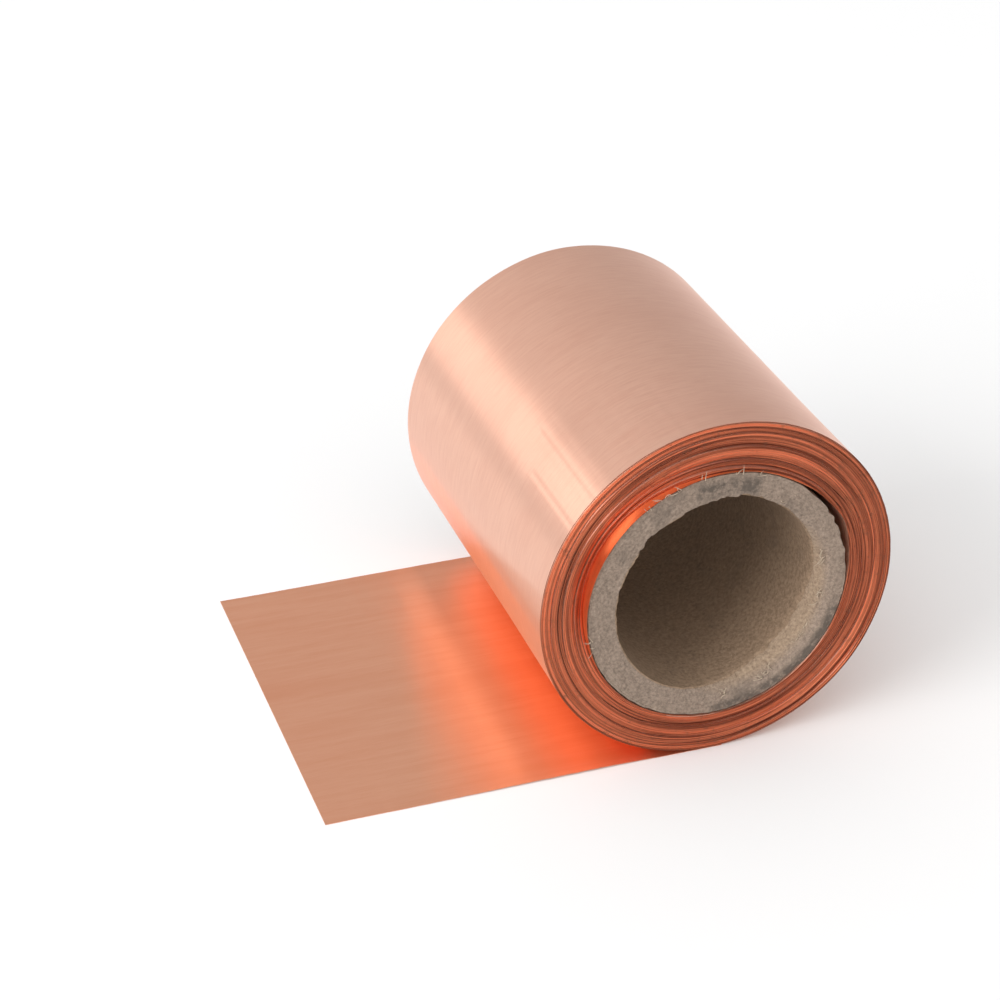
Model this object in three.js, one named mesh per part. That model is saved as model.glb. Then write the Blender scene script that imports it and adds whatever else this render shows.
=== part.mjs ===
// A roll of bare copper foil, 100 mm wide, wound on a paperboard core and lying on a bench.
// All lengths are in millimetres and +Z is up. The roll's axis runs along Y, and the free end
// of the strip lies flat on the bench towards -X.
//
// The foil is one continuous strip. It is modelled as the pieces a user can tell apart: the
// start held to the core, the bundles of turns, the outermost turn, the short stretch that
// leaves the roll over the bench, and the flat free tail.

import * as THREE from 'three';

// ---- Driving dimensions ----

const STRIP_WIDTH = 100;
const FOIL = 0.15;
const ROLL_RADIUS = 43.3;
const TAIL_LENGTH = 94.8;
const LEAD_OFF_BEFORE = 8;
const LEAD_OFF_PAST = 3;
const ROLLING_GAP = 0.3;

const BORE_RADIUS = 25;
const CORE_LENGTH = 102;
const CORE_PROUD = 2;
const CORE_OFFSET = 0.9;
const LINER_PLY = 0.4;
const BODY_PLY = 1;
const BODY_PLIES = 6;
const OUTER_PLY = 0.6;
const CORE_SLACK = 0.92;

// Bundles of turns from the core outwards: how thick each one is, and how far it stands out
// of the -Y end. The strip has one width, so a bundle is sunk by the same amount at +Y.
const TURN_BUNDLES = [
  { thick: 1.1, proud: 2.2 },
  { thick: 1.4, proud: 0.9 },
  { thick: 1.2, proud: 0.35 },
  { thick: 1.6, proud: 0.65 },
  { thick: 1.2, proud: 0.2 },
  { thick: 1.5, proud: 0.45 },
  { thick: 1.1, proud: 0.1 },
];
const LAST_BUNDLE_PROUD = 0.25;

const TAPE_THICK = 0.12;
const TAPE_WIDTH = 80;
const LAYER_GAP = 0.02;

// ---- Round pieces are faceted, with one facet square to the bench ----

const FACETS = 60;
const FACET_DEG = 360 / FACETS;
const HALF_FACET = Math.PI / FACETS;

// ---- Derived positions ----

const CORE_RADIUS = BORE_RADIUS + LINER_PLY + BODY_PLY * BODY_PLIES + OUTER_PLY;
const FIRST_TURN_RADIUS = CORE_RADIUS + CORE_SLACK;
const OUTER_TURN_RADIUS = ROLL_RADIUS - FOIL;
const MOST_PROUD = TURN_BUNDLES[0].proud;

const ROLL_Z = FOIL + ROLLING_GAP + ROLL_RADIUS;
const ROLL_X = (TAIL_LENGTH - ROLL_RADIUS) / 2;
const NEAR_EDGE = (MOST_PROUD - STRIP_WIDTH) / 2;
const CORE_X = ROLL_X - CORE_OFFSET;

// ---- Materials ----

const COPPER = { color: 0xd08a68, roughness: 0.3, metalness: 1 };
const COPPER_EDGE = { color: 0xa8563c, roughness: 0.5, metalness: 1 };
const BOARD = { color: 0x9c9184, roughness: 0.95, metalness: 0 };
const LINER = { color: 0xa58f74, roughness: 0.9, metalness: 0 };
const KRAFT_TAPE = { color: 0xc9ad82, roughness: 0.7, metalness: 0 };

function named(name, geometry, look) {
  const mesh = new THREE.Mesh(geometry, new THREE.MeshStandardMaterial(look));
  mesh.name = name;
  return mesh;
}

// A tube around a line along Y that passes through (x, z).
function tube(name, look, { inner, outer, start, length, x = ROLL_X, z = ROLL_Z }) {
  const profile = [
    new THREE.Vector2(inner, start),
    new THREE.Vector2(outer, start),
    new THREE.Vector2(outer, start + length),
    new THREE.Vector2(inner, start + length),
    new THREE.Vector2(inner, start),
  ];
  const geometry = new THREE.LatheGeometry(profile, FACETS, HALF_FACET);
  geometry.translate(x, 0, z);
  return named(name, geometry, look);
}

// A curved sheet round the core. Its inner radius at each facet corner is given by radiusAt,
// and the corners stand at the same angles as the core's. Angles are in degrees from +X.
function sheetOnCore(name, look, { from, to, thick, start, length, radiusAt }) {
  const corners = Math.round(Math.abs(to - from) / FACET_DEG);
  const step = (to - from) / corners;
  const inside = [];
  const outside = [];
  for (let i = 0; i <= corners; i += 1) {
    const degrees = from + step * i;
    const angle = THREE.MathUtils.degToRad(degrees);
    const radius = radiusAt(degrees);
    inside.push(new THREE.Vector2(radius * Math.cos(angle), radius * Math.sin(angle)));
    const far = radius + thick;
    outside.push(new THREE.Vector2(far * Math.cos(angle), far * Math.sin(angle)));
  }
  const outline = new THREE.Shape([...inside, ...outside.reverse()]);
  const geometry = new THREE.ExtrudeGeometry(outline, { depth: length, bevelEnabled: false });
  // The outline was drawn in X and Y and pushed along Z: stand it up so it runs along Y.
  geometry.rotateX(Math.PI / 2);
  geometry.translate(CORE_X, start + length, ROLL_Z);
  return named(name, geometry, look);
}

// A flat stretch of strip on the bench between two X positions.
function flatStrip(name, from, to) {
  const geometry = new THREE.BoxGeometry(to - from, STRIP_WIDTH, FOIL);
  geometry.translate((from + to) / 2, NEAR_EDGE + STRIP_WIDTH / 2, FOIL / 2);
  return named(name, geometry, COPPER);
}

// ---- The paperboard core: a liner, six body plies and an outer ply, glued in one tube ----

function coreTube() {
  const plies = [{ name: 'core_liner_ply', thick: LINER_PLY, look: LINER }];
  for (let i = 1; i <= BODY_PLIES; i += 1) {
    plies.push({ name: `core_body_ply_${i}`, thick: BODY_PLY, look: BOARD });
  }
  plies.push({ name: 'core_outer_ply', thick: OUTER_PLY, look: BOARD });

  const meshes = [];
  let inner = BORE_RADIUS;
  for (const ply of plies) {
    const outer = inner + ply.thick;
    const place = { inner, outer, start: NEAR_EDGE - CORE_PROUD, length: CORE_LENGTH, x: CORE_X };
    meshes.push(tube(ply.name, ply.look, place));
    inner = outer;
  }
  return meshes;
}

// ---- The start of the strip and the tape that holds it to the core ----

// Corner angles fall halfway between whole facets.
const STRIP_START_DEG = -FACET_DEG * 4.5;
const STRIP_LIFT_DEG = -FACET_DEG * 7.5;
const STRIP_JOIN_DEG = -FACET_DEG * 18.5;
const STRIP_LIFT = 0.37;
const TAPE_FROM_DEG = -FACET_DEG * 7.5;
const TAPE_TO_DEG = -FACET_DEG * 1.5;

// The strip lies on the core under the tape, then rises to meet the innermost turns.
function stripStart() {
  const radiusAt = (degrees) => {
    const along = (degrees - STRIP_LIFT_DEG) / (STRIP_JOIN_DEG - STRIP_LIFT_DEG);
    return CORE_RADIUS + STRIP_LIFT * Math.max(0, along);
  };
  return sheetOnCore('strip_start', COPPER, {
    from: STRIP_START_DEG,
    to: STRIP_JOIN_DEG,
    thick: FOIL,
    start: NEAR_EDGE - MOST_PROUD,
    length: STRIP_WIDTH,
    radiusAt,
  });
}

// The tape steps down from the strip's end on to the core's outer ply.
function starterTape() {
  const radiusAt = (degrees) => {
    const overStrip = degrees <= STRIP_START_DEG;
    return CORE_RADIUS + (overStrip ? FOIL + LAYER_GAP : 0);
  };
  return sheetOnCore('starter_tape', KRAFT_TAPE, {
    from: TAPE_FROM_DEG,
    to: TAPE_TO_DEG,
    thick: TAPE_THICK,
    start: -TAPE_WIDTH / 2,
    length: TAPE_WIDTH,
    radiusAt,
  });
}

// ---- The wound pack ----

function ringOfTurns(name, look, inner, outer, proud) {
  return tube(name, look, { inner, outer, start: NEAR_EDGE - proud, length: STRIP_WIDTH });
}

function woundTurns() {
  const meshes = [];
  let inner = FIRST_TURN_RADIUS;
  TURN_BUNDLES.forEach(({ thick, proud }, i) => {
    const outer = inner + thick;
    meshes.push(ringOfTurns(`turn_bundle_${i + 1}`, COPPER_EDGE, inner, outer, proud));
    inner = outer;
  });

  // The last bundle fills what is left under the outermost turn.
  const last = `turn_bundle_${TURN_BUNDLES.length + 1}`;
  meshes.push(ringOfTurns(last, COPPER_EDGE, inner, OUTER_TURN_RADIUS, LAST_BUNDLE_PROUD));
  meshes.push(ringOfTurns('outer_turn', COPPER, OUTER_TURN_RADIUS, ROLL_RADIUS, 0));
  return meshes;
}

// ---- The strip on the bench ----

function benchStrip() {
  const tailEnd = ROLL_X - TAIL_LENGTH;
  const join = ROLL_X - LEAD_OFF_BEFORE;
  return [
    flatStrip('free_tail', tailEnd, join),
    flatStrip('lead_off', join, ROLL_X + LEAD_OFF_PAST),
  ];
}

const roll = new THREE.Group();
roll.name = 'copper_foil_roll';
roll.add(...coreTube(), starterTape(), stripStart(), ...woundTurns(), ...benchStrip());

export default roll;
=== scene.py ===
"""Looks of a roll of bare copper foil on a paperboard core, its free end lying on a bench.

Lengths are in millimetres until a mesh is made. The roll's axis runs along Y, and angles
round it are measured from +X towards +Z.
"""

import math

import bpy
import numpy as np
from mathutils import Matrix, Vector


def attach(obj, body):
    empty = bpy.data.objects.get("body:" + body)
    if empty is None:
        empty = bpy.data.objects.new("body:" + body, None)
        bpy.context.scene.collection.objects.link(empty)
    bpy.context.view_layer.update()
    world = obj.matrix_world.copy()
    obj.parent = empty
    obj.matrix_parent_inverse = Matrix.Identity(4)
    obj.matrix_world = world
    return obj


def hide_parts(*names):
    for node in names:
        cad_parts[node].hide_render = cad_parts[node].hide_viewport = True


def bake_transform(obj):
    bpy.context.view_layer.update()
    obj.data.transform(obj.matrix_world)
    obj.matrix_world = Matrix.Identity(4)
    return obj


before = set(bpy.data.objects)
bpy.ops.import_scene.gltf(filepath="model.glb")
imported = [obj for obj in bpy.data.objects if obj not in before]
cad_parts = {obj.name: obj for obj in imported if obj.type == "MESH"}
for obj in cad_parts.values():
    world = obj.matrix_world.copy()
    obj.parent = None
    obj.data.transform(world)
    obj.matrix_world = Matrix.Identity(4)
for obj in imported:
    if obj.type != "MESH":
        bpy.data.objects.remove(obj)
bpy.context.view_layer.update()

MM = 0.001
TURN = 2 * math.pi

# ---- Driving dimensions, shared with the CAD ----

STRIP_WIDTH = 100.0
NEAR_EDGE = -48.9
FAR_EDGE = NEAR_EDGE + STRIP_WIDTH
ROLL_X = 25.75
ROLL_Z = 43.75
TAIL_LENGTH = 94.8
LEAD_OFF_PAST = 3.0

CORE_X = 24.85
CORE_NEAR = -50.9
CORE_LENGTH = 102.0
PLY_EDGES = [25.0, 25.4, 26.4, 27.4, 28.4, 29.4, 30.4, 31.4, 32.0]
BUNDLE_THICK = [1.1, 1.4, 1.2, 1.6, 1.2, 1.5, 1.1, 1.13]
BUNDLE_PROUD = [2.2, 0.9, 0.35, 0.65, 0.2, 0.45, 0.1, 0.25]

# ---- Dimensions that only the looks have ----

FOIL = 0.1
NEAR_RADIUS = 43.6
FAR_RADIUS = 43.05
TURN_PITCH = 0.16
SLEEVE_SHARE = 0.24
SLEEVE_LIFT = 0.3
BESIDE_LIFT = 0.2
DISH_DEG = 152.0
DISH_WIDTH_DEG = 58.0
DISH_DEPTH = 2.4
DISH_REACH = 5.0
FULL_DEG = 62.0
FULL_WIDTH_DEG = 70.0
FULL_LIFT = 1.0
BUCKLE_DEG = 27.0
BUCKLE_WIDTH_DEG = 37.0
BUCKLE_DEPTH = 1.2
WORN_DEG = -32.0
WORN_WIDTH_DEG = 92.0
WORN_DEPTH = 6.5
WORN_RADIUS = 30.0
# The foil stands slightly off the bench just before the roll: from, highest point and to.
HUMP_XS = (-62.0, -4.0, 20.0)
HUMP_HEIGHT = 0.4

ROUND_STEPS = 600
BUNDLE_STEPS = 480

# ---- Smooth random shapes ----


def ripple(angle, seed, waves, size):
    """A wave that closes on itself round the roll, made of sines with random phases."""
    rng = np.random.default_rng(seed)
    total = np.zeros_like(angle)
    for count in waves:
        total = total + rng.normal() * np.sin(count * angle + rng.uniform(0, TURN))
    return size * total / math.sqrt(len(waves))


def grain(u, v, cells_u, cells_v, seed):
    """Smooth noise from -1 to 1 over u and v in 0 to 1. It closes on itself along u."""
    rng = np.random.default_rng(seed)
    table = rng.uniform(-1, 1, (cells_u, cells_v + 2))
    across = np.asarray(u) % 1.0 * cells_u
    up = np.clip(v, 0, 1) * cells_v
    col = np.floor(across).astype(int)
    row = np.floor(up).astype(int)
    a = across - col
    b = up - row
    a = a * a * (3 - 2 * a)
    b = b * b * (3 - 2 * b)
    left = col % cells_u
    right = (col + 1) % cells_u
    low = table[left, row] * (1 - a) + table[right, row] * a
    high = table[left, row + 1] * (1 - a) + table[right, row + 1] * a
    return low * (1 - b) + high * b


def swell(angle, centre_deg, width_deg):
    """1 at an angle, falling smoothly to 0 at a width to each side of it."""
    gap = (angle - math.radians(centre_deg) + math.pi) % TURN - math.pi
    reach = np.clip(1 - np.abs(gap) / math.radians(width_deg), 0, 1)
    return reach * reach * (3 - 2 * reach)


# ---- Meshes: every piece is a loop of points swept along a path ----


def sweep(name, points, origin, closed, materials, slots=None, along=None):
    """A closed mesh from points[step, loop]. An open path is capped at both ends."""
    steps, loop = points.shape[:2]
    spans = steps if closed else steps - 1
    step = np.arange(spans)[:, None]
    here = np.arange(loop)[None, :]
    after = (step + 1) % steps
    there = (here + 1) % loop
    quads = np.stack(
        [
            step * loop + here,
            step * loop + there,
            after * loop + there,
            after * loop + here,
        ],
        axis=-1,
    ).reshape(-1, 4)
    local = (points - np.array(origin)) * MM
    mesh = bpy.data.meshes.new(name)
    faces = quads.tolist()
    if not closed:
        faces.append(list(range(loop))[::-1])
        faces.append(list(range((steps - 1) * loop, steps * loop)))
    mesh.from_pydata(local.reshape(-1, 3).tolist(), [], faces)
    for material in materials:
        mesh.materials.append(material)
    if slots is not None:
        index = np.zeros(len(faces), dtype=np.int32)
        index[: len(quads)] = np.broadcast_to(slots, (spans, loop)).reshape(-1)
        mesh.polygons.foreach_set("material_index", index)
    add_strip_uv(mesh, points, quads, along)
    mesh.shade_smooth()
    mesh.set_sharp_from_angle(angle=math.radians(50))
    piece = bpy.data.objects.new(name, mesh)
    piece.location = Vector(origin) * MM
    bpy.context.scene.collection.objects.link(piece)
    return piece


def add_strip_uv(mesh, points, quads, along):
    """A map whose U runs along the strip and whose V runs across it, in metres."""
    steps, loop = points.shape[:2]
    if along is None:
        along = np.linspace(0, TURN * ROLL_Z, steps + 1)
    lengths = np.linalg.norm(np.diff(points[0], axis=0), axis=1)
    across = np.concatenate([[0.0], np.cumsum(lengths), [lengths.sum()]])
    step = quads[:, 0] // loop
    here = quads[:, 0] % loop
    u = np.stack([along[step], along[step], along[step + 1], along[step + 1]], axis=-1)
    v = np.stack([across[here], across[here + 1], across[here + 1], across[here]], axis=-1)
    uv = np.zeros((len(mesh.loops), 2))
    uv[: len(quads) * 4, 0] = u.reshape(-1) * MM
    uv[: len(quads) * 4, 1] = v.reshape(-1) * MM
    layer = mesh.uv_layers.new(name="strip")
    layer.data.foreach_set("uv", uv.reshape(-1).astype(np.float32))


def ring_points(radius, along, centre_x, angles):
    """Points of a ring from its radius and Y at each step round it and each loop point."""
    turn = angles[:, None]
    x = centre_x + radius * np.cos(turn)
    z = ROLL_Z + radius * np.sin(turn)
    return np.stack([x, np.broadcast_to(along, x.shape), z], axis=-1)


def ring(name, radius, along, centre_x, materials, slots=None):
    """A closed piece round the roll, from its radius and Y at each step and loop point."""
    angles = np.linspace(0, TURN, len(radius), endpoint=False)
    points = ring_points(radius, along, centre_x, angles)
    return sweep(name, points, (centre_x, 0, ROLL_Z), True, materials, slots)


# ---- Materials ----


class Nodes:
    """Short ways to add nodes to a tree and join them."""

    def __init__(self, tree):
        self.tree = tree

    def node(self, kind, inputs=None, **settings):
        made = self.tree.nodes.new(kind)
        for key, value in settings.items():
            setattr(made, key, value)
        for key, value in (inputs or {}).items():
            self.feed(made.inputs[key], value)
        return made

    def feed(self, socket, value):
        if isinstance(value, bpy.types.NodeSocket):
            self.tree.links.new(value, socket)
        else:
            socket.default_value = value

    def math(self, operation, *values):
        made = self.node("ShaderNodeMath", operation=operation)
        for socket, value in zip(made.inputs, values):
            self.feed(socket, value)
        return made.outputs[0]

    def average(self, first, second):
        return self.math("ADD", self.math("MULTIPLY", first, 0.5), self.math("MULTIPLY", second, 0.5))

    def hypot(self, first, second):
        squares = [self.math("MULTIPLY", side, side) for side in (first, second)]
        return self.math("SQRT", self.math("ADD", *squares))

    def noise(self, vector, scale, detail=3.0, rough=0.55):
        inputs = {"Vector": vector, "Scale": scale, "Detail": detail, "Roughness": rough}
        return self.node("ShaderNodeTexNoise", inputs).outputs["Fac"]

    def between(self, value, low, high, to_low, to_high):
        inputs = {0: value, 1: low, 2: high, 3: to_low, 4: to_high}
        return self.node("ShaderNodeMapRange", inputs, clamp=True).outputs[0]

    def blend(self, share, first, second):
        made = self.node("ShaderNodeMix", data_type="RGBA")
        self.feed(made.inputs[0], share)
        self.feed(made.inputs[6], first)
        self.feed(made.inputs[7], second)
        return made.outputs[2]

    def bump(self, height, strength, distance):
        inputs = {"Height": height, "Strength": strength, "Distance": distance}
        return self.node("ShaderNodeBump", inputs).outputs[0]

    def place(self):
        return self.node("ShaderNodeTexCoord").outputs["Object"]

    def split(self, vector):
        return self.node("ShaderNodeSeparateXYZ", {0: vector}).outputs

    def join(self, x, y, z):
        return self.node("ShaderNodeCombineXYZ", {0: x, 1: y, 2: z}).outputs[0]


class Shader(Nodes):
    """A node material."""

    def __init__(self, name):
        self.material = bpy.data.materials.new(name)
        self.material.use_nodes = True
        super().__init__(self.material.node_tree)
        self.surface = self.tree.nodes["Principled BSDF"]

    def finish(self, **values):
        for key, value in values.items():
            self.feed(self.surface.inputs[key.replace("_", " ").title()], value)
        return self.material


def round_place(shader, turns, across, inwards=0.0):
    """Coordinates round the roll: the turn as a circle, and a mix of Y and radius."""
    x, y, z = shader.split(shader.place())
    radius = shader.hypot(x, z)
    circle_x = shader.math("MULTIPLY", shader.math("DIVIDE", x, radius), turns)
    circle_z = shader.math("MULTIPLY", shader.math("DIVIDE", z, radius), turns)
    from_y = shader.math("MULTIPLY", y, across)
    from_radius = shader.math("MULTIPLY", radius, inwards)
    return shader.join(circle_x, circle_z, shader.math("ADD", from_y, from_radius))


def flat_place(shader, along, across):
    """Coordinates on the flat tail, scaled along and across the strip."""
    x, y, z = shader.split(shader.place())
    return shader.join(shader.math("MULTIPLY", x, along), shader.math("MULTIPLY", y, across), 0.0)


# The wound face is painted a little paler than the flat tail, though both are the same foil: a painted
# sheen for the pale reflection that the roll's curved face shows.
WOUND_COPPER = ((0.96, 0.55, 0.40, 1), (0.86, 0.445, 0.315, 1))
FLAT_COPPER = ((0.99, 0.49, 0.31, 1), (0.92, 0.40, 0.235, 1))
# The innermost turns are seen by light that has already been off other turns.
INNER_COPPER = ((0.95, 0.24, 0.085, 1), (0.72, 0.15, 0.05, 1))

# The brushing: the scales along and across the strip of the fine lines, the broad streaks and
# the stains, then how rough the satin is and how strong the stains are.
WOUND_BRUSH = {
    "place": round_place,
    "fine": (12.0, 5200.0),
    "broad": (5.0, 1300.0),
    "stain": (1.4, 60.0),
    "satin": 0.32,
    "stained": 0.25,
}
FLAT_BRUSH = {
    "place": flat_place,
    "fine": (200.0, 6500.0),
    "broad": (30.0, 420.0),
    "stain": (11.0, 75.0),
    "satin": 0.30,
    "stained": 0.7,
}
SATIN_SPREAD = 0.02
# A quarter turn, so that the copper is smoother along the strip than across it.
BRUSH_TURN = 0.25
COAT_ROUGHNESS = 0.4


def brushed_copper(name, tones, coat, brush):
    """Foil face: satin, finely brushed along the strip, with faint streaks and stains."""
    shader = Shader(name)
    place = brush["place"]
    fine = shader.noise(place(shader, *brush["fine"]), 1.0, 4.0, 0.65)
    broad = shader.noise(place(shader, *brush["broad"]), 1.0, 3.0, 0.6)
    stain = shader.noise(place(shader, *brush["stain"]), 1.0, 2.0, 0.5)
    patches = shader.noise(shader.place(), 38.0, 2.0)
    tone = shader.average(fine, broad)
    streaked = shader.between(tone, 0.42, 0.66, 0.0, 0.8)
    stained = shader.between(stain, 0.50, 0.66, 0.0, brush["stained"])
    colour = shader.blend(streaked, *tones)
    colour = shader.blend(stained, colour, tones[1])
    low = brush["satin"] - SATIN_SPREAD
    high = brush["satin"] + SATIN_SPREAD
    brushed = shader.between(tone, 0.3, 0.7, low, high)
    handled = shader.between(patches, 0.3, 0.7, -SATIN_SPREAD / 2, SATIN_SPREAD / 2)
    rough = shader.math("ADD", brushed, handled)
    tangent = shader.node("ShaderNodeTangent", direction_type="UV_MAP", uv_map="strip")
    shader.surface.inputs["Anisotropic"].default_value = 1.0
    shader.surface.inputs["Anisotropic Rotation"].default_value = BRUSH_TURN
    shader.surface.inputs["Coat Weight"].default_value = coat
    shader.surface.inputs["Coat Roughness"].default_value = COAT_ROUGHNESS
    shader.feed(shader.surface.inputs["Tangent"], tangent.outputs[0])
    normal = shader.bump(fine, 0.3, 0.02 * MM)
    return shader.finish(base_color=colour, roughness=rough, metallic=1.0, normal=normal)


EDGE_DARK = (0.19, 0.05, 0.028, 1)
EDGE_BRIGHT = (0.88, 0.285, 0.145, 1)
EDGE_TARNISH = (0.22, 0.12, 0.08, 1)


def edge_copper():
    """The slit edges of many turns side by side: redder, with dark and bright lines."""
    shader = Shader("copper_edges")
    lines = shader.noise(round_place(shader, 0.45, 300.0, 3400.0), 1.0, 4.0, 0.7)
    bands = shader.noise(round_place(shader, 0.3, 60.0, 1250.0), 1.0, 3.0, 0.6)
    spots = shader.noise(shader.place(), 520.0, 3.0, 0.6)
    bright = shader.between(shader.average(lines, bands), 0.41, 0.60, 0.0, 1.0)
    tarnished = shader.between(spots, 0.58, 0.72, 0.0, 0.4)
    colour = shader.blend(bright, EDGE_DARK, EDGE_BRIGHT)
    colour = shader.blend(tarnished, colour, EDGE_TARNISH)
    rough = shader.between(spots, 0.3, 0.7, 0.36, 0.55)
    normal = shader.bump(lines, 0.6, 0.1 * MM)
    return shader.finish(base_color=colour, roughness=rough, metallic=1.0, normal=normal)


SOOT = (0.115, 0.092, 0.075, 1)
WORN_PALE = (0.47, 0.345, 0.235, 1)
WORN_DARK = (0.26, 0.18, 0.12, 1)
# How deep behind the cut face the dirt fades out, and the worn board's colour comes in.
SMUDGE_FADE = (1.0, 3.0)
WORN_FADE = (0.6, 2.5)
# The share of a smudge's reach that is fully dirty.
SMUDGE_CORE = 0.35


def end_smudge(shader, place, angle_deg, half_deg, radius, reach):
    """How dirty the core's near end is at a place: an arc of dirt about a radius."""
    x, y, z = shader.split(place)
    across = shader.math("MULTIPLY", x, math.cos(math.radians(angle_deg)))
    up = shader.math("MULTIPLY", z, math.sin(math.radians(angle_deg)))
    out = shader.hypot(x, z)
    facing = shader.math("DIVIDE", shader.math("ADD", across, up), out)
    edge = math.cos(math.radians(half_deg))
    along = shader.between(facing, edge, (1 + 2 * edge) / 3, 0.0, 1.0)
    gap = shader.math("ABSOLUTE", shader.math("SUBTRACT", out, radius * MM))
    inward = shader.between(gap, reach * SMUDGE_CORE * MM, reach * MM, 1.0, 0.0)
    shallow = behind_face(shader, place, SMUDGE_FADE, 1.0, 0.0)
    return shader.math("MULTIPLY", shader.math("MULTIPLY", along, inward), shallow)


def behind_face(shader, place, depths, first, second):
    """A value that changes from first to second between two depths behind the near face."""
    y = shader.split(place)[1]
    start, end = [(CORE_NEAR + depth) * MM for depth in depths]
    return shader.between(y, start, end, first, second)


def board(name, pale, dark, fleck, grain_scale, mottle, smudges=()):
    """Grey paperboard: pale and dark fibres, with darker mottled patches and smudges."""
    shader = Shader(name)
    place = shader.place()
    fibres = shader.noise(place, grain_scale, 5.0, 0.7)
    flecks = shader.noise(place, grain_scale * 1.9, 2.0, 0.6)
    patches = shader.noise(place, 95.0, 3.0, 0.6)
    if smudges:
        # Inside the cut face the board is worn to fluff, which is paler and browner.
        worn = behind_face(shader, place, WORN_FADE, 0.0, 0.8)
        pale = shader.blend(worn, pale, WORN_PALE)
        dark = shader.blend(worn, dark, WORN_DARK)
    colour = shader.blend(shader.between(fibres, 0.34, 0.66, 0.0, 1.0), dark, pale)
    colour = shader.blend(shader.between(flecks, 0.64, 0.74, 0.0, 0.6), colour, fleck)
    colour = shader.blend(shader.between(patches, 0.58, 0.74, 0.0, mottle), colour, SOOT)
    if smudges:
        blots = shader.noise(place, 620.0, 3.0, 0.65)
        patchy = shader.between(blots, 0.40, 0.56, 0.2, 0.9)
    for arc in smudges:
        amount = shader.math("MULTIPLY", end_smudge(shader, place, *arc), patchy)
        colour = shader.blend(amount, colour, SOOT)
    normal = shader.bump(fibres, 0.7, 0.2 * MM)
    rough = shader.between(flecks, 0.3, 0.7, 0.86, 0.98)
    shader.surface.inputs["Specular IOR Level"].default_value = 0.25
    return shader.finish(base_color=colour, roughness=rough, normal=normal)


def pale_floor():
    shader = Shader("floor")
    cloud = shader.noise(shader.place(), 3.0, 2.0)
    colour = shader.blend(cloud, (0.91, 0.91, 0.91, 1), (0.93, 0.93, 0.93, 1))
    return shader.finish(base_color=colour, roughness=0.9)


FACE = brushed_copper("copper_roll_face", WOUND_COPPER, 0.65, WOUND_BRUSH)
FLAT = brushed_copper("copper_flat_face", FLAT_COPPER, 0.15, FLAT_BRUSH)
INNER = brushed_copper("copper_inner_turns", INNER_COPPER, 0.2, WOUND_BRUSH)
EDGES = edge_copper()
# Dirt on the core's near end: the middle angle, half the arc, the radius and the reach.
SMUDGES = [(88, 17, 28.6, 3.0), (-52, 42, 31.2, 2.1)]
# Each board's pale and dark fibres, and its flecks.
GREY = ((0.36, 0.275, 0.215, 1), (0.20, 0.15, 0.115, 1), (0.52, 0.42, 0.32, 1))
BROWN = ((0.36, 0.25, 0.165, 1), (0.21, 0.142, 0.092, 1), (0.50, 0.38, 0.26, 1))
KRAFT = ((0.58, 0.43, 0.27, 1), (0.46, 0.33, 0.20, 1), (0.66, 0.53, 0.38, 1))
STRAW = ((0.62, 0.50, 0.38, 1), (0.42, 0.33, 0.24, 1), (0.70, 0.60, 0.48, 1))
BOARD = board("greyboard", *GREY, 1500.0, 0.55, SMUDGES)
LINER = board("liner_board", *BROWN, 1100.0, 0.3)
TAPE = board("kraft_tape", *KRAFT, 900.0, 0.1)
FLUFF = board("loose_fibre", *STRAW, 1500.0, 0.2)

# ---- The core: eight plies that share one rough cut at each end ----


CORE_NAMES = ["core_liner_ply"] + [f"core_body_ply_{i}" for i in range(1, 7)] + ["core_outer_ply"]
# How far the board's roughness stands out of the cut ends: coarse and fine.
CUT_COARSE = 0.16
CUT_FINE = 0.10
# The same for the worn lip, which is softer and looser.
WORN_COARSE = 0.5
WORN_FINE = 0.35
# Where the cut has torn: the middle angle, the width to each side and how far out it goes.
TEARS = [(78.0, 52.0, 1.05), (150.0, 75.0, 0.30)]
TEAR_RAGGED = 0.55
TEAR_DEPTH = 2.4
TEAR_SLOPE = 0.2
# Plies are drawn this much short of each other.
PLY_GAP = 0.012
# How far the outer ply's edge is frayed, and how much more it is at the buckle.
FRAY = 0.10
FRAY_AT_BUCKLE = 0.25
BORE_WANDER = 0.04
SEAM_LEAD = 118.0
SEAM_HEIGHT = 0.10
SEAM_WIDTH = 0.004


def cut_end(angle, radius, seed):
    """How far the core's cut end stands out at a place: rough board with fine tears."""
    share = angle / TURN
    depth = (radius - PLY_EDGES[0]) / (PLY_EDGES[-1] - PLY_EDGES[0])
    coarse = grain(share, depth, 90, 4, seed)
    fine = grain(share, depth, 420, 16, seed + 1)
    return CUT_COARSE * coarse + CUT_FINE * fine


def worn_lip(angle, radius):
    """How far the near end is worn back towards the bore, where it has been handled."""
    wear = swell(angle, WORN_DEG, WORN_WIDTH_DEG)
    inside = np.clip((WORN_RADIUS - radius) / (WORN_RADIUS - PLY_EDGES[0]), 0, 1)
    share = angle / TURN
    coarse = grain(share, inside, 60, 6, 23)
    fine = grain(share, inside, 220, 14, 24)
    fuzz = WORN_COARSE * coarse + WORN_FINE * fine
    return wear * inside * (WORN_DEPTH * inside + fuzz)


def torn_lip(angle, radius):
    """How far the inner plies are torn back where the cut has ripped instead of sliced."""
    share = angle / TURN
    ragged = grain(share, 0 * share, 46, 1, 21) + 0.7 * grain(share, 0 * share, 130, 1, 22)
    reach = [swell(angle, deg, width) * (out + TEAR_RAGGED * ragged) for deg, width, out in TEARS]
    edge = PLY_EDGES[0] + np.maximum(*reach)
    return TEAR_DEPTH * np.clip((edge - radius) / TEAR_SLOPE, 0, 1)


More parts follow.
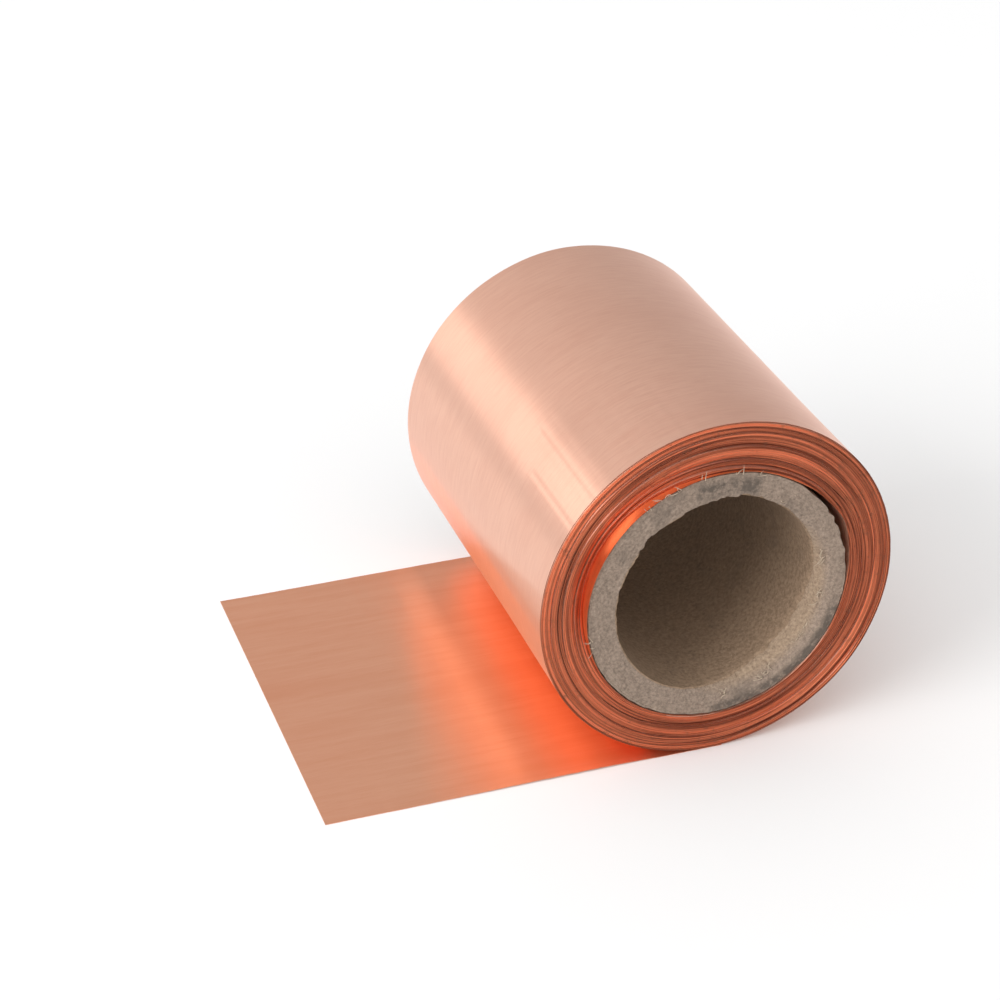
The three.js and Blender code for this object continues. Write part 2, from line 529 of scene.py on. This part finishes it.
def core_ply(index, material):
    """One ply of the core. The first has the bore's shape, and the last a frayed edge."""
    inner, outer = PLY_EDGES[index], PLY_EDGES[index + 1]
    first = index == 0
    last = index == len(PLY_EDGES) - 2
    angles = np.linspace(0, TURN, ROUND_STEPS, endpoint=False)[:, None]
    across = np.linspace(0, 1, 6)[None, :]
    inner_edge = np.full_like(angles, inner + PLY_GAP)
    outer_edge = np.full_like(angles, outer - PLY_GAP)
    if first:
        inner_edge = inner_edge + bore_shape(angles)
    if last:
        fray = FRAY + FRAY_AT_BUCKLE * swell(angles, BUCKLE_DEG, BUCKLE_WIDTH_DEG)
        outer_edge = outer_edge + fray * grain(angles / TURN, 0 * angles, 120, 1, 31) - 0.6 * fray
    face_radius = inner_edge + (outer_edge - inner_edge) * across
    near = CORE_NEAR - cut_end(angles, face_radius, 5) + worn_lip(angles, face_radius)
    near = near + torn_lip(angles, face_radius)
    far = CORE_NEAR + CORE_LENGTH + cut_end(angles, face_radius, 8)
    rows = np.linspace(0, 1, 90 if first else 4)[None, 1:-1]
    outside = near[:, -1:] + (far[:, -1:] - near[:, -1:]) * rows
    inside = far[:, :1] + (near[:, :1] - far[:, :1]) * rows
    outer_wall = np.broadcast_to(outer_edge, outside.shape)
    inner_wall = np.broadcast_to(inner_edge, inside.shape)
    if first:
        inner_wall = inner_wall + seam_shape(angles, inside)
    radius = np.hstack([face_radius, outer_wall, face_radius[:, ::-1], inner_wall])
    along = np.hstack([near, outside, far[:, ::-1], inside])
    name = CORE_NAMES[index]
    piece = ring("looks_" + name, radius, along, CORE_X, [material])
    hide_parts(name)
    return piece


def bore_shape(angles):
    """The bore is not quite round."""
    return BORE_WANDER * grain(angles / TURN, 0 * angles, 45, 1, 13)


def seam_shape(angles, along):
    """Shallow helical seams where the liner's strip meets itself."""
    phase = (along / SEAM_LEAD + angles / TURN) % 0.5
    return SEAM_HEIGHT * np.exp(-((phase - 0.25) / SEAM_WIDTH) ** 2)


def build_core():
    return [core_ply(0, LINER)] + [core_ply(i, BOARD) for i in range(1, len(CORE_NAMES))]


# Tufts of board fibre at the near end: angle, radius and how many strands stand there.
TUFTS = [
    (123, 32.1, 7),
    (110, 32.0, 3),
    (98, 32.0, 2),
    (84, 32.0, 3),
    (70, 31.8, 2),
    (191, 31.9, 5),
    (12, 27.0, 7),
    (-12, 27.4, 9),
    (-34, 27.8, 10),
    (-62, 28.2, 9),
    (-84, 28.0, 6),
    (60, 26.4, 3),
]
TUFT_SPREAD_DEG = 2.5
# Tufts beyond this radius lean outwards, and the others lean into the bore.
OUTSIDE_TUFTS = 30
STRAND_STEPS = 9
STRAND_SIDES = 5
STRAND_THICK = 0.12
STRAND_TAPER = 0.75
# A strand starts this far inside the board and comes out of it in its first step.
STRAND_ROOT = 0.35
STRAND_EXIT = 2.2


def strand_path(rng, angle, radius, outwards):
    """A fibre that leaves the cut board, bends over and ends loose."""
    length = rng.uniform(1.0, 3.2)
    heading = angle + 0.6 + rng.normal(0, 0.6) + (0 if outwards else math.pi)
    curl = rng.normal(0, 1.5)
    rise = rng.uniform(0.1, 0.5)
    face = CORE_NEAR + worn_lip(angle, radius) + torn_lip(angle, radius)
    path = [np.array([radius * math.cos(angle), face + STRAND_ROOT, radius * math.sin(angle)])]
    for step in range(STRAND_STEPS - 1):
        share = step / (STRAND_STEPS - 2)
        bend = heading + curl * share
        move = np.array([math.cos(bend), -rise * (1 - 1.6 * share), math.sin(bend)])
        if step == 0:
            move = np.array([0.0, -STRAND_EXIT, 0.0])
        path.append(path[-1] + move * length / STRAND_STEPS)
    return np.array(path)


def strand_points(path):
    """The rings of points of a thin tapered tube along a path."""
    points = []
    for step, centre in enumerate(path):
        thick = STRAND_THICK * (1 - STRAND_TAPER * step / STRAND_STEPS)
        ahead = path[min(step + 1, STRAND_STEPS - 1)] - path[max(step - 1, 0)]
        side = np.cross(ahead, (0.3, 1.0, 0.2))
        side = side / np.linalg.norm(side)
        other = np.cross(ahead, side)
        other = other / np.linalg.norm(other)
        for turn in np.linspace(0, TURN, STRAND_SIDES, endpoint=False):
            points.append(centre + thick * (math.cos(turn) * side + math.sin(turn) * other))
    return points


def strand_faces(first):
    """The faces of a closed tube whose points start at an index."""
    faces = []
    for low in range(first, first + (STRAND_STEPS - 1) * STRAND_SIDES, STRAND_SIDES):
        high = low + STRAND_SIDES
        for here in range(STRAND_SIDES):
            there = (here + 1) % STRAND_SIDES
            faces.append((low + here, low + there, high + there, high + here))
    last = first + (STRAND_STEPS - 1) * STRAND_SIDES
    faces.append(tuple(range(first, first + STRAND_SIDES))[::-1])
    faces.append(tuple(range(last, last + STRAND_SIDES)))
    return faces


def build_fluff():
    """Loose fibres of the torn board, as thin tapered closed strands in one mesh."""
    rng = np.random.default_rng(301)
    points = []
    faces = []
    for angle_deg, radius, count in TUFTS:
        outwards = radius > OUTSIDE_TUFTS
        for _ in range(count):
            angle = math.radians(angle_deg + rng.normal(0, TUFT_SPREAD_DEG))
            path = strand_path(rng, angle, radius + rng.normal(0, 0.25) - 0.2, outwards)
            faces += strand_faces(len(points))
            points += strand_points(path)
    mesh = bpy.data.meshes.new("looks_core_fluff")
    mesh.from_pydata((np.array(points) * MM).tolist(), [], faces)
    mesh.materials.append(FLUFF)
    mesh.shade_smooth()
    piece = bpy.data.objects.new("looks_core_fluff", mesh)
    piece.location = Vector((CORE_X, 0, ROLL_Z)) * MM
    bpy.context.scene.collection.objects.link(piece)
    return piece


# ---- The wound foil ----


# How deep the pack's shallow flats are, and the room between it and the core or outer turn.
FLAT_DEPTH = 0.10
CORE_CLEAR = 0.06
OUTER_CLEAR = 0.03
# The gap between two bundles, how much it varies, and how far their meeting line wanders.
SLACK = 0.11
SLACK_SPREAD = 0.10
LINE_WANDER = 0.16
# How far a whole bundle's edge, or one turn's, sways in and out.
BUNDLE_SWAY = 0.10
TURN_SWAY = 0.03
TURN_STEP = 0.035
# Points across one turn's edge: the share of its thickness, and the drop at its corners.
TURN_SHAPE = ((0.04, 0.05), (0.2, 0.0), (0.8, 0.0), (0.96, 0.05))
# Rows of points along a bundle, closest together at its two ends.
BUNDLE_ROWS = (0.0008, 0.003, 0.012, 0.04, 0.5, 0.96, 0.988, 0.997, 0.9992)


def roll_radius(angle, along):
    """The outside of the pack: slightly conical, with very shallow flats."""
    share = (along - NEAR_EDGE) / STRIP_WIDTH
    cone = NEAR_RADIUS + (FAR_RADIUS - NEAR_RADIUS) * np.clip(share, 0, 1)
    flats = FLAT_DEPTH * np.abs(grain(angle / TURN, np.clip(share, 0, 1), 9, 4, 40))
    return cone - flats


def core_outline(angle):
    """The core's outside as a distance from the pack's axis, which is a little to its side."""
    shift = CORE_X - ROLL_X
    return shift * np.cos(angle) + np.sqrt(PLY_EDGES[-1] ** 2 - (shift * np.sin(angle)) ** 2) + 0.1


def turn_edge(angle, fraction):
    """The line between two bundles: from the core's outside to the outermost turn."""
    core = core_outline(angle) + CORE_CLEAR
    buckle = BUCKLE_DEPTH * swell(angle, BUCKLE_DEG, BUCKLE_WIDTH_DEG)
    inner = core + buckle * (1 + 0.15 * ripple(angle, 60, (11, 17), 1.0))
    outer = roll_radius(angle, NEAR_EDGE + 0 * angle) - FOIL - OUTER_CLEAR
    waves = ripple(angle, 61 + int(fraction * 100), (2, 3, 5, 8, 13), LINE_WANDER)
    room = 4 * fraction * (1 - fraction)
    return inner + (outer - inner) * fraction + waves * room


def bundle(index):
    """One bundle of turns, with the edge of every turn standing at its own height."""
    total = sum(BUNDLE_THICK)
    start = sum(BUNDLE_THICK[:index]) / total
    end = sum(BUNDLE_THICK[: index + 1]) / total
    angles = np.linspace(0, TURN, BUNDLE_STEPS, endpoint=False)[:, None]
    slack = SLACK + SLACK_SPREAD * np.clip(ripple(angles, 80 + index, (2, 5, 7), 1.0), -0.9, 1.8)
    inner = turn_edge(angles, start) + 0.5 * slack
    outer = turn_edge(angles, end) - 0.5 * slack
    turns = max(4, round(BUNDLE_THICK[index] / TURN_PITCH))
    across, height = turn_profile(turns, angles, 100 + index)
    face = inner + (outer - inner) * across
    sway = ripple(angles, 120 + index, (1, 2, 4, 9), BUNDLE_SWAY)
    proud = np.full_like(face, BUNDLE_PROUD[index])
    from_core = np.clip((face - core_outline(angles)) / DISH_REACH, 0, 1)
    dished = swell(angles, DISH_DEG, DISH_WIDTH_DEG)
    proud = proud - DISH_DEPTH * dished * (1 - from_core) ** 1.5
    if index == 0:
        # Only the innermost few turns stand out with the core, like a sleeve round it.
        sleeve = np.broadcast_to(across < SLEEVE_SHARE, face.shape)
        full = FULL_LIFT * swell(angles, FULL_DEG, FULL_WIDTH_DEG)
        beside = proud - BUNDLE_PROUD[0] + BUNDLE_PROUD[1] + BESIDE_LIFT + full
        proud = np.where(sleeve, BUNDLE_PROUD[0] + SLEEVE_LIFT * dished, beside)
    near = NEAR_EDGE - proud - height + sway
    far = FAR_EDGE - proud + height + sway
    rows = np.array([BUNDLE_ROWS])
    outside = near[:, -1:] + (far[:, -1:] - near[:, -1:]) * rows
    inside = far[:, :1] + (near[:, :1] - far[:, :1]) * rows
    outer_wall = np.broadcast_to(outer, outside.shape)
    inner_wall = np.broadcast_to(inner, inside.shape)
    radius = np.hstack([face, outer_wall, face[:, ::-1], inner_wall])
    along = np.hstack([near, outside, far[:, ::-1], inside])
    # The edges are slot 0, the walls between bundles slot 1 and the sleeve's outside slot 2.
    slots = np.zeros(radius.shape[1], dtype=int)
    slots[face.shape[1] - 1 : face.shape[1] + rows.size] = 1
    slots[face.shape[1] * 2 + rows.size - 1 :] = 1
    if index == 0:
        slots[np.count_nonzero(across < SLEEVE_SHARE) - 1] = 2
    name = f"turn_bundle_{index + 1}"
    piece = ring("looks_" + name, radius, along, ROLL_X, [EDGES, FACE, INNER], slots)
    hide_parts(name)
    return piece


def turn_profile(turns, angles, seed):
    """Where the points across a bundle lie, and how far each turn's edge stands out."""
    rng = np.random.default_rng(seed)
    across = []
    heights = []
    for turn in range(turns):
        lift = rng.normal(0, TURN_STEP)
        lift = lift + ripple(angles, seed * 31 + turn, (1, 3, 6, 14), TURN_SWAY)
        for share, drop in TURN_SHAPE:
            across.append((turn + share) / turns)
            heights.append(lift - drop)
    return np.array(across)[None, :], np.hstack(heights)


def outer_turn():
    """The outermost turn: the brushed face that is seen, with its own thin edge."""
    angles = np.linspace(0, TURN, ROUND_STEPS, endpoint=False)[:, None]
    rows = np.linspace(0, 1, 70)[None, :]
    nick = 0.05 * grain(angles / TURN, 0 * angles, 260, 1, 55)
    nick = nick + ripple(angles, 56, (1, 2, 3, 7), 0.08)
    near = NEAR_EDGE - nick
    far = FAR_EDGE - nick
    outside = near + (far - near) * rows
    outer = roll_radius(angles, outside)
    inside = outside[:, ::-1]
    inner = outer[:, ::-1] - FOIL
    radius = np.hstack([outer, inner])
    along = np.hstack([outside, inside])
    slots = np.zeros(radius.shape[1], dtype=int)
    slots[rows.size - 1] = 1
    slots[-1] = 1
    piece = ring("looks_outer_turn", radius, along, ROLL_X, [FACE, EDGES], slots)
    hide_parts("outer_turn")
    return piece


def build_turns():
    return [bundle(i) for i in range(len(BUNDLE_THICK))] + [outer_turn()]


# ---- The strip's start, on the core under its tape ----


START_FROM_DEG = -27
START_TO_DEG = -111
TAPE_FROM_DEG = -9
TAPE_TO_DEG = -45
TAPE_THICK = 0.1
TAPE_HALF_WIDTH = 40
ON_CORE = 0.12
START_RISE = 0.30
OVER_STRIP = 0.02


def sheet_round_core(node, from_deg, to_deg, lift, thick, near, far, material):
    """A thin curved sheet outside the core. lift gives its height above the core."""
    angles = np.radians(np.linspace(from_deg, to_deg, 90))[:, None]
    low = PLY_EDGES[-1] + lift(np.degrees(angles))
    rows = np.linspace(near, far, 24)[None, :]
    shape = (len(angles), rows.size)
    radius = np.hstack([np.broadcast_to(low + thick, shape), np.broadcast_to(low, shape)])
    along = np.broadcast_to(np.hstack([rows, rows[:, ::-1]]), radius.shape)
    points = ring_points(radius, along, CORE_X, angles[:, 0])
    if to_deg < from_deg:
        points = points[::-1]
    length = np.linspace(0, math.radians(abs(to_deg - from_deg)) * PLY_EDGES[-1], len(angles))
    piece = sweep("looks_" + node, points, (CORE_X, 0, ROLL_Z), False, [material], along=length)
    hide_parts(node)
    return piece


def build_start():
    """The strip's start rises from the core past its tape, and the tape steps down off it."""

    def strip_lift(degrees):
        free = np.clip((TAPE_TO_DEG - degrees) / (TAPE_TO_DEG - START_TO_DEG), 0, 1)
        return ON_CORE + START_RISE * free

    def tape_lift(degrees):
        return np.where(degrees < START_FROM_DEG + 1, ON_CORE + FOIL + OVER_STRIP, ON_CORE)

    near = NEAR_EDGE - BUNDLE_PROUD[0]
    far = near + STRIP_WIDTH
    half = TAPE_HALF_WIDTH
    start = (START_FROM_DEG, START_TO_DEG, strip_lift, FOIL, near, far)
    tape = (TAPE_FROM_DEG, TAPE_TO_DEG, tape_lift, TAPE_THICK, -half, half)
    return [sheet_round_core("strip_start", *start, FACE), sheet_round_core("starter_tape", *tape, TAPE)]


# ---- The strip on the bench ----


# The strip's clearance from the bench, its waves, and how far its slit edges wander.
BENCH_GAP = 0.02
TAIL_WAVE = 0.10
SLIT_WANDER = 0.04
# The waves end this far before the line under the roll's axis.
WAVES_END = 12


def bench_strip():
    """The free tail and the stretch under the roll, as the one sheet that they are."""
    start = ROLL_X - TAIL_LENGTH
    end = ROLL_X + LEAD_OFF_PAST
    xs = np.linspace(start, end, 240)
    ys = np.linspace(NEAR_EDGE, FAR_EDGE, 90)
    free = np.clip((ROLL_X - WAVES_END - xs) / TAIL_LENGTH, 0, 1)[:, None]
    share_x = ((xs - start) / (2 * TAIL_LENGTH))[:, None]
    share_y = ((ys - NEAR_EDGE) / STRIP_WIDTH)[None, :]
    wave = 0.5 + 0.5 * grain(share_x, share_y, 9, 3, 70)
    hump = 0.5 - 0.5 * np.cos(TURN * np.interp(xs, HUMP_XS, (0, 0.5, 1)))[:, None]
    lift = BENCH_GAP + TAIL_WAVE * wave * free * (1 - free) + HUMP_HEIGHT * hump
    slit = SLIT_WANDER * grain(share_x, 0 * share_x, 90, 1, 71)
    top_y = np.broadcast_to(ys[None, :], lift.shape) + slit * (2 * share_y - 1)
    x = np.broadcast_to(xs[:, None], lift.shape)
    top = np.stack([x, top_y, lift + FOIL], axis=-1)
    under = np.stack([x, top_y, lift], axis=-1)[:, ::-1]
    points = np.concatenate([top, under], axis=1)
    # Seen along +X the loop must run the other way to face out.
    points = points[::-1]
    length = np.linspace(TAIL_LENGTH + LEAD_OFF_PAST, 0, len(xs))
    piece = sweep("looks_bench_strip", points, (0, 0, 0), False, [FLAT], along=length)
    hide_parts("free_tail", "lead_off")
    return piece


# ---- Light, floor and camera ----


# Metres, as are the sizes of the lights.
FLOOR_HALF = 6.0
# Soft lobes of light: azimuth, elevation, how far out each one fades, and its strength.
LOBES = [(-68, 38, 0.70, 0.45), (-45, 56, 0.45, 0.66)]
# The surroundings' strength at the horizon and above it, and the height where it levels.
HORIZON_GLOW = 0.80
SKY_GLOW = 0.59
SKY_LEVELS = 0.36
# The key light: azimuth, elevation, distance, width and height, and its brightness.
LEFT_KEY = (-74, 28, 6.0, (3.8, 2.7), 5.2)


def floor():
    """A wide plane that is there for the pictures only."""
    half = FLOOR_HALF
    mesh = bpy.data.meshes.new("floor")
    corners = [(-half, -half, 0), (half, -half, 0), (half, half, 0), (-half, half, 0)]
    mesh.from_pydata(corners, [], [(0, 1, 2, 3)])
    mesh.materials.append(pale_floor())
    piece = bpy.data.objects.new("floor", mesh)
    bpy.context.scene.collection.objects.link(piece)


def direction(azimuth, elevation):
    """Azimuth 0 is on the -Y side and 90 on the +X side."""
    a, e = math.radians(azimuth), math.radians(elevation)
    return Vector((math.sin(a) * math.cos(e), -math.cos(a) * math.cos(e), math.sin(e)))


def softbox(name, azimuth, elevation, distance, size, glow):
    """An area light aimed at the roll."""
    away = direction(azimuth, elevation)
    lamp = bpy.data.lights.new(name, "AREA")
    lamp.shape = "RECTANGLE"
    lamp.size, lamp.size_y = size
    lamp.energy = glow * math.pi * size[0] * size[1]
    light = bpy.data.objects.new(name, lamp)
    light.location = away * distance + Vector((0, 0, 0.04))
    light.rotation_euler = away.to_track_quat("Z", "Y").to_euler()
    bpy.context.scene.collection.objects.link(light)


def studio():
    """White surroundings, paler at the horizon, with soft lobes of light and one key light."""
    world = bpy.data.worlds.new("studio")
    world.use_nodes = True
    sky = Nodes(world.node_tree)
    facing = sky.node("ShaderNodeTexCoord").outputs["Generated"]
    smooth = {"interpolation_type": "SMOOTHSTEP"}
    horizon = {0: sky.split(facing)[2], 1: 0.0, 2: SKY_LEVELS, 3: HORIZON_GLOW, 4: SKY_GLOW}
    strength = sky.node("ShaderNodeMapRange", horizon, **smooth).outputs[0]
    for azimuth, elevation, fade, glow in LOBES:
        aim = {0: facing, 1: direction(azimuth, elevation)}
        towards = sky.node("ShaderNodeVectorMath", aim, operation="DOT_PRODUCT").outputs["Value"]
        spread = {0: towards, 1: fade, 2: 1.0, 3: 0.0, 4: glow}
        lobe = sky.node("ShaderNodeMapRange", spread, **smooth).outputs[0]
        strength = sky.math("ADD", strength, lobe)
    background = world.node_tree.nodes["Background"]
    background.inputs["Color"].default_value = (1, 1, 1, 1)
    sky.feed(background.inputs["Strength"], strength)
    bpy.context.scene.world = world
    softbox("left_key", *LEFT_KEY)
    view = bpy.context.scene.view_settings
    view.view_transform = "Standard"
    view.look = "None"


# Where the camera stands in metres, and its azimuth, elevation and roll in degrees.
CAMERA_PLACE = (-0.1865, -0.5001, 0.3547)
CAMERA_AIM = (-19.40, 30.07, 0.44)
SENSOR_MM = 36
LENS_MM = 91.9


def camera():
    azimuth, elevation, roll = [math.radians(angle) for angle in CAMERA_AIM]
    lens = bpy.data.cameras.new("camera")
    lens.sensor_width = SENSOR_MM
    lens.lens = LENS_MM
    made = bpy.data.objects.new("camera", lens)
    turn = Matrix.Rotation(azimuth, 4, "Z")
    tip = Matrix.Rotation(math.pi / 2 - elevation, 4, "X")
    spin = Matrix.Rotation(roll, 4, "Z")
    made.matrix_world = Matrix.Translation(CAMERA_PLACE) @ turn @ tip @ spin
    bpy.context.scene.collection.objects.link(made)
    bpy.context.scene.camera = made


for piece in build_core() + [build_fluff()] + build_turns() + build_start():
    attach(piece, "roll")

tail = bench_strip()
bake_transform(tail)

floor()
studio()
camera()
